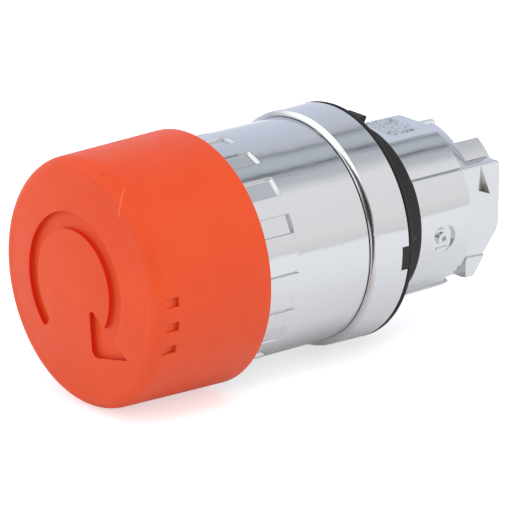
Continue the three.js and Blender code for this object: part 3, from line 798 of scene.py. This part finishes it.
# A shallow round moulding mark is sunk in the right-hand land. A plain ring and two short bars are
# left standing in it.
mark = turned([(0, -0.5), (1.72, -0.5), (1.85, 0.5), (0, 0.5)], 64)
mark = carved(mark, turned([(0.34, -1), (0.82, -1), (0.82, -0.1), (0.34, -0.1)], 48))
mark = carved(mark, cuboid(-0.9, 0.9, -1, -0.15, -1.35, -1.1))
mark = carved(mark, cuboid(-0.25, 1.25, -1, -0.15, 0.98, 1.22))
bmesh.ops.rotate(mark, verts=mark.verts, cent=(0, 0, 0), matrix=Matrix.Rotation(-math.pi / 2, 3, "Z"))
bmesh.ops.translate(mark, verts=mark.verts, vec=Vector(MARK_PLACE) * MM)
housing_shape = carved(housing_shape, mark)

# A patch of coarse spark-eroded texture stands on the barrel's flat.
random.seed(7)
patch = bmesh.new()
bmesh.ops.create_grid(patch, x_segments=26, y_segments=18, size=1)
bmesh.ops.scale(patch, verts=patch.verts, vec=(PATCH_SIZE[0] * MM, PATCH_SIZE[1] * MM, 1))
for vert in patch.verts:
    inside = abs(vert.co.x) < (PATCH_SIZE[0] - PATCH_BORDER) * MM \
        and abs(vert.co.y) < (PATCH_SIZE[1] - PATCH_BORDER) * MM
    vert.co.z = random.uniform(*PATCH_TALL) * MM if inside else 0
skirt = bmesh.ops.extrude_edge_only(patch, edges=[e for e in patch.edges if e.is_boundary])
for vert in [p for p in skirt["geom"] if isinstance(p, bmesh.types.BMVert)]:
    vert.co.z = -0.4 * MM
bmesh.ops.holes_fill(patch, edges=[e for e in patch.edges if e.is_boundary], sides=0)
tidy(patch)
bmesh.ops.translate(patch, verts=patch.verts, vec=Vector(PATCH_PLACE) * MM)
housing_shape = carved(housing_shape, patch, "UNION")

notch = cuboid(-NOTCH_HALF, NOTCH_HALF, COLLAR_BACK_Y - 1.1, 0, COLLAR_BACK_R - 1.5, COLLAR_BACK_R + 1)
bmesh.ops.rotate(notch, verts=notch.verts, cent=(0, 0, 0),
                 matrix=Matrix.Rotation(math.radians(NOTCH_TURN), 3, "Y"))
housing_shape = carved(housing_shape, notch)

# The pocket and the two ridges keep a duller plate than the rest.
cast_chrome = metal_finish("cast_chrome", (0.80, 0.79, 0.775), 0.4, 0.014, 0.03)
housing = settled("housing_casting", housing_shape, chrome, 24)
housing.data.materials.append(cast_chrome)
for face in housing.data.polygons:
    x, y, z = face.center / MM
    in_pocket = 7.5 < abs(x) < 8.97 and 14.2 < y < 16.9 and 2.0 < z < 6.05
    on_ridge = y > RIM_END_Y and z > LAND_TOP + 0.1
    if in_pocket or on_ridge:
        face.material_index = 1
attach(housing, "body")
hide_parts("housing")


# ---- Panel gasket ----------------------------------------------------------------------
# A moulded nitrile rubber ring seals the collar to the panel. Its short sleeve goes through the
# panel hole with a key at 12 o'clock, and a tab on its flange sits in the collar's notch.

GASKET_FLANGE_R = 14.35
GASKET_SLEEVE_R = 11.05
GASKET_BORE_R = 10.45
GASKET_ROUND = 0.15
GASKET_BACK_Y = 4.1
KEY_HALF = 1.6
KEY_ROOT_R = 10.65
KEY_TOP = 12.6
TAB_HALF = 1.35

gasket_outline = [(GASKET_BORE_R, -0.5)]
gasket_outline += arc(GASKET_FLANGE_R - GASKET_ROUND, -0.35, GASKET_ROUND, -90, 0, 3)
gasket_outline += arc(GASKET_FLANGE_R - GASKET_ROUND, -GASKET_ROUND, GASKET_ROUND, 0, 90, 3)
gasket_outline += [(GASKET_SLEEVE_R + GASKET_ROUND, 0), (GASKET_SLEEVE_R, GASKET_ROUND)]
gasket_outline += arc(GASKET_SLEEVE_R - 0.12, GASKET_BACK_Y - 0.12, 0.12, 0, 90, 3)
gasket_outline += [(GASKET_BORE_R, GASKET_BACK_Y)]
gasket_shape = turned(gasket_outline, 240)
key_outline = [(-0.2, KEY_ROOT_R), (2.6, KEY_ROOT_R), (3.5, KEY_TOP), (-0.2, KEY_TOP)]
key = slab([(-KEY_HALF, y, z) for y, z in key_outline], (2 * KEY_HALF, 0, 0))
soften(key, 0.06, 2, 30)
gasket_shape = carved(gasket_shape, key, "UNION")
tab = cuboid(-TAB_HALF, TAB_HALF, COLLAR_BACK_Y - 1.0, -0.1, COLLAR_BACK_R - 1.4, GASKET_FLANGE_R - 0.1)
soften(tab, 0.1, 2, 30)
bmesh.ops.rotate(tab, verts=tab.verts, cent=(0, 0, 0),
                 matrix=Matrix.Rotation(math.radians(NOTCH_TURN), 3, "Y"))
gasket_shape = carved(gasket_shape, tab, "UNION")

black_rubber = moulded_finish("black_rubber", (0.011, 0.010, 0.009), (0.022, 0.019, 0.018),
                              (0.09, 0.085, 0.08), 0.62, 0.02, 0.4)
gasket = settled("gasket_rubber", gasket_shape, black_rubber)
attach(gasket, "body")
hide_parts("panel_gasket")


# ---- Inner parts -----------------------------------------------------------------------
# The push, latch and release parts on the stem inside the housing: turned steel and brass, wound
# wire springs and moulded plastic. The stem slides in a bush that is fixed in the rear wall.

COIL_R = 6.6
COIL_WIRE = 0.6
RETURN_BACK_Y = 10.6
TORSION_R = 4.5
TORSION_WIRE = 0.4
TORSION_FRONT_Y = -29.7
TORSION_BACK_Y = -24.0
STEM_R = 3.0
STEM_TAIL_R = 2.0
CROSS_HOLE_R = 0.9
CROSS_HOLE_Y = -11

steel = metal_finish("turned_steel", (0.56, 0.56, 0.57), 0.28, 0.004, 0.002)
spring_steel = metal_finish("spring_wire", (0.42, 0.42, 0.43), 0.32, 0.003, 0.002)
brass = metal_finish("turned_brass", (0.66, 0.48, 0.22), 0.26, 0.004, 0.002)
dark_plastic = moulded_finish("dark_plastic", (0.035, 0.036, 0.040), (0.026, 0.027, 0.030), (0.1, 0.1, 0.1),
                              0.48, 0.006)
pale_plastic = moulded_finish("pale_plastic", (0.66, 0.63, 0.55), (0.58, 0.55, 0.47), (0.35, 0.33, 0.28),
                              0.44, 0.005)


def wire_coil(name, radius, wire, y0, y1, turns, steps=32):
    """A round wire wound about the axis at an even pitch, from its front coil to its rear coil."""
    shape = bmesh.new()
    ring = [shape.verts.new((r * MM, y * MM, 0)) for r, y in arc(radius, y0 + wire, wire, 0, 324, 9)]
    section = shape.faces.new(ring)
    rise = (y1 - y0 - 2 * wire) * MM / (turns * steps)
    wound = bmesh.ops.spin(shape, geom=ring + list(section.edges), cent=(0, 0, 0), axis=(0, 1, 0),
                           dvec=(0, rise, 0), angle=2 * math.pi * turns, steps=turns * steps)
    last_ring = [p for p in wound["geom_last"] if isinstance(p, bmesh.types.BMEdge)]
    bmesh.ops.contextual_create(shape, geom=last_ring)
    return settled(name, tidy(shape), spring_steel)


return_wire = wire_coil("return_wire", COIL_R, COIL_WIRE, -7.7, RETURN_BACK_Y, 7)
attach(return_wire, "body")
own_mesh(return_wire)
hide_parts("return_spring")

trip_wire = wire_coil("trip_wire", COIL_R, COIL_WIRE, -29.7, -14.3, 6)
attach(trip_wire, "plunger")
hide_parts("trip_spring")

torsion_wire = wire_coil("torsion_wire", TORSION_R, TORSION_WIRE, TORSION_FRONT_Y, TORSION_BACK_Y, 6)
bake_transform(torsion_wire)
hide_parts("torsion_spring")

stem_outline = [(0, -35.0), (STEM_R - 0.5, -35.0), (STEM_R, -34.5), (STEM_R, -33.65), (2.4, -33.65),
                (2.4, -32.95), (STEM_R, -32.95), (STEM_R, -26.0), (STEM_R, -18.0), (STEM_R, -8.0),
                (STEM_R, 2.0), (STEM_R, 13.3), (2.75, 13.6), (STEM_TAIL_R, 13.6), (STEM_TAIL_R, 15.85),
                (1.5, 15.85), (1.5, 16.45), (STEM_TAIL_R, 16.45), (STEM_TAIL_R, 16.6), (1.7, 16.9),
                (0, 16.9)]
stem_shape = turned(stem_outline, 72)
cross_hole = turned([(0, -5), (CROSS_HOLE_R, -5), (CROSS_HOLE_R, 5), (0, 5)], 32)
bmesh.ops.rotate(cross_hole, verts=cross_hole.verts, cent=(0, 0, 0),
                 matrix=Matrix.Rotation(math.pi / 2, 3, "X"))
bmesh.ops.translate(cross_hole, verts=cross_hole.verts, vec=(0, CROSS_HOLE_Y * MM, 0))
turned_stem = settled("turned_stem", carved(stem_shape, cross_hole), steel)
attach(turned_stem, "plunger")
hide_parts("stem")

pusher_shape = cuboid(-3.3, 3.3, 13.8, 15.7, -6, 6)
soften(pusher_shape, 0.35, 4, 30, lambda e: abs(e.verts[0].co.y - e.verts[1].co.y) > MM)
for low, high in ((3.9, 6.0), (-6.0, -3.9)):
    foot = cuboid(-2.5, 2.5, 15, 17.2, low, high)
    soften(foot, 0.2, 3, 30)
    pusher_shape = carved(pusher_shape, foot, "UNION")
pusher_hole = turned([(0, 12), (2.1, 12), (2.1, 18), (0, 18)], 48)
pusher_plate = settled("pusher_plate", carved(pusher_shape, pusher_hole), pale_plastic)
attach(pusher_plate, "plunger")
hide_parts("pusher")

bush_shape = turned([(3.1, 10.2), (5.35, 10.2), (5.5, 10.35), (5.5, 11.5), (4.5, 11.5), (4.5, 13.3),
                     (4.3, 13.5), (3.3, 13.5), (3.1, 13.3)], 72)
bush = settled("flanged_bush", bush_shape, pale_plastic)
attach(bush, "body")
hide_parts("guide_bush")

for name, finish, slot in (
        ("cap_hub", dark_plastic, "hub"), ("stem_clip", spring_steel, "spring_steel"),
        ("latch_carrier", brass, "brass"), ("carrier_pin", steel, "steel"), ("latch_pin_1", steel, "steel"),
        ("latch_pin_2", steel, "steel"), ("latch_pin_3", steel, "steel"), ("latch_pin_4", steel, "steel"),
        ("latch_ring", steel, "steel"), ("pusher_clip", spring_steel, "spring_steel"),
        ("spring_washer", steel, "steel"), ("sleeve_o_ring", black_rubber, "rubber"),
        ("lip_seal", black_rubber, "rubber"), ("seal_washer", steel, "steel")):
    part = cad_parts[name]
    part.data.materials.clear()
    part.data.materials.append(finish)


# ---- Floor, light and camera -----------------------------------------------------------
# A plain pale table in a white tent: a bright side, a cooler ceiling with two dark seams in it,
# and a darker opening in front, low down.

FLOOR_GLOW = 0.09
SEEN_GLOW = 0.47
FLOOR_HALF = 4
FLOOR_GAP = 0.02

floor_shape = bmesh.new()
bmesh.ops.create_grid(floor_shape, x_segments=1, y_segments=1, size=FLOOR_HALF)
bmesh.ops.translate(floor_shape, verts=floor_shape.verts,
                    vec=(0, 0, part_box("mushroom_cap")[0].z - FLOOR_GAP * MM))
floor_mesh = bpy.data.meshes.new("table_top")
floor_shape.to_mesh(floor_mesh)
floor_shape.free()
floor = bpy.data.objects.new("table_top", floor_mesh)
bpy.context.scene.collection.objects.link(floor)
floor_white, floor_tree, floor_shader = finish_base("table_white")
floor_shader.inputs["Base Color"].default_value = (0.86, 0.86, 0.86, 1)
floor_shader.inputs["Roughness"].default_value = 0.9
floor_shader.inputs["Specular IOR Level"].default_value = 0.1
floor_shader.inputs["Emission Color"].default_value = (1, 1, 1, 1)
seen = node(floor_tree, "ShaderNodeLightPath").outputs["Is Camera Ray"]
floor_glow = maths(floor_tree, "ADD", maths(floor_tree, "MULTIPLY", seen, SEEN_GLOW), FLOOR_GLOW)
floor_tree.links.new(floor_glow, floor_shader.inputs["Emission Strength"])
floor_mesh.materials.append(floor_white)

world = bpy.data.worlds.new("white_tent")
bpy.context.scene.world = world
world.use_nodes = True
sky = world.node_tree
sky.nodes.clear()
ray = node(sky, "ShaderNodeTexCoord")
axes = node(sky, "ShaderNodeSeparateXYZ")
sky.links.new(ray.outputs["Generated"], axes.inputs[0])
roll = maths(sky, "ARCTAN2", axes.outputs["Z"], axes.outputs["X"])
roll = maths(sky, "ADD", maths(sky, "DIVIDE", roll, 2 * math.pi), 0.5)
bands = node(sky, "ShaderNodeValToRGB")
sky.links.new(roll, bands.inputs[0])
# Each stop of the tent: an angle round the button's axis in degrees and the tent's colour there.
TENT = [(-180, 0.86, 0.86, 0.88), (-90, 0.86, 0.86, 0.88), (-20, 0.92, 0.92, 0.92), (0, 0.88, 0.88, 0.89),
        (14, 0.96, 0.96, 0.97), (58, 1.0, 1.0, 1.02), (64, 0.84, 0.86, 0.90), (70, 0.66, 0.69, 0.73),
        (78, 0.60, 0.63, 0.68), (83, 0.40, 0.43, 0.48), (85.5, 0.16, 0.18, 0.22), (88, 0.46, 0.49, 0.54),
        (92, 0.59, 0.63, 0.68), (100, 0.59, 0.63, 0.68), (104, 0.48, 0.52, 0.58), (107, 0.32, 0.35, 0.41),
        (111, 0.58, 0.61, 0.67), (120, 0.67, 0.71, 0.81), (150, 0.72, 0.78, 0.91), (180, 0.74, 0.80, 0.93)]
stops = bands.color_ramp.elements
stops[0].position = 0
stops[0].color = (*TENT[0][1:], 1)
stops[1].position = 1
stops[1].color = (*TENT[-1][1:], 1)
for degrees, *tone in TENT[1:-1]:
    stop = stops.new(degrees / 360 + 0.5)
    stop.color = (*tone, 1)
# Towards the front the tent opens: dark near the table, bright higher up, dim to the right.
front = ramped(sky, maths(sky, "MULTIPLY", axes.outputs["Y"], -1), 0.3, 0.55)
opening = node(sky, "ShaderNodeValToRGB")
sky.links.new(axes.outputs["Z"], opening.inputs[0])
rise = opening.color_ramp.elements
rise[0].position = 0.0
rise[0].color = (0.16, 0.16, 0.16, 1)
rise[1].position = 1.0
rise[1].color = (1.1, 1.1, 1.12, 1)
for position, level in ((0.06, 0.24), (0.13, 0.42), (0.2, 1.0), (0.25, 1.5), (0.45, 1.5)):
    stop = rise.new(position)
    stop.color = (level, level, level, 1)
right_share = ramped(sky, axes.outputs["X"], 0.05, 0.5)
dimmed = mixed(sky, right_share, opening.outputs[0], (0.42, 0.42, 0.43, 1))
tent = mixed(sky, front, bands.outputs[0], dimmed)
glow = node(sky, "ShaderNodeBackground")
sky.links.new(tent, glow.inputs["Color"])
sky_out = node(sky, "ShaderNodeOutputWorld")
sky.links.new(glow.outputs[0], sky_out.inputs["Surface"])


def soft_light(name, place, target, size, watts):
    """A soft box of a width and height at a place in metres, facing a target."""
    data = bpy.data.lights.new(name, "AREA")
    data.shape = "RECTANGLE"
    data.size, data.size_y = size
    data.energy = watts
    lamp = bpy.data.objects.new(name, data)
    lamp.location = place
    lamp.rotation_mode = "QUATERNION"
    lamp.rotation_quaternion = (Vector(target) - Vector(place)).to_track_quat("-Z", "Y")
    bpy.context.scene.collection.objects.link(lamp)
    return lamp


front_light = soft_light("front", (-0.18, -0.8, 0.16), (0, -0.03, 0), (0.35, 0.35), 0.85)
front_light.visible_glossy = False
key_light = soft_light("key", (0.3, 0.1, 0.85), (0, -0.02, 0), (0.5, 0.5), 3.0)
key_light.visible_glossy = False

CAMERA_TURN = math.radians(51.714)
CAMERA_RISE = math.radians(19.002)
CAMERA_FAR = 0.5
CAMERA_AIM = Vector((0, -0.0221, 0))
CAMERA_SWING = (0.0152730, 0.0003437)
CAMERA_LENS = 303.53
camera_back = Vector((math.sin(CAMERA_TURN) * math.cos(CAMERA_RISE),
                      -math.cos(CAMERA_TURN) * math.cos(CAMERA_RISE), math.sin(CAMERA_RISE)))
camera_right = Vector((math.cos(CAMERA_TURN), math.sin(CAMERA_TURN), 0))
camera_up = camera_back.cross(camera_right)
camera_axes = Matrix((camera_right, camera_up, camera_back)).transposed()
camera_swing = Matrix.Rotation(-CAMERA_SWING[0], 3, "Y") @ Matrix.Rotation(CAMERA_SWING[1], 3, "X")
camera_data = bpy.data.cameras.new("view")
camera_data.sensor_width = 36
camera_data.lens = CAMERA_LENS
camera_data.clip_start = 0.01
camera = bpy.data.objects.new("view", camera_data)
camera.location = CAMERA_AIM + camera_back * CAMERA_FAR
camera.rotation_mode = "QUATERNION"
camera.rotation_quaternion = (camera_axes @ camera_swing).to_quaternion()
bpy.context.scene.collection.objects.link(camera)
bpy.context.scene.camera = camera
bpy.context.scene.view_settings.view_transform = "Standard"
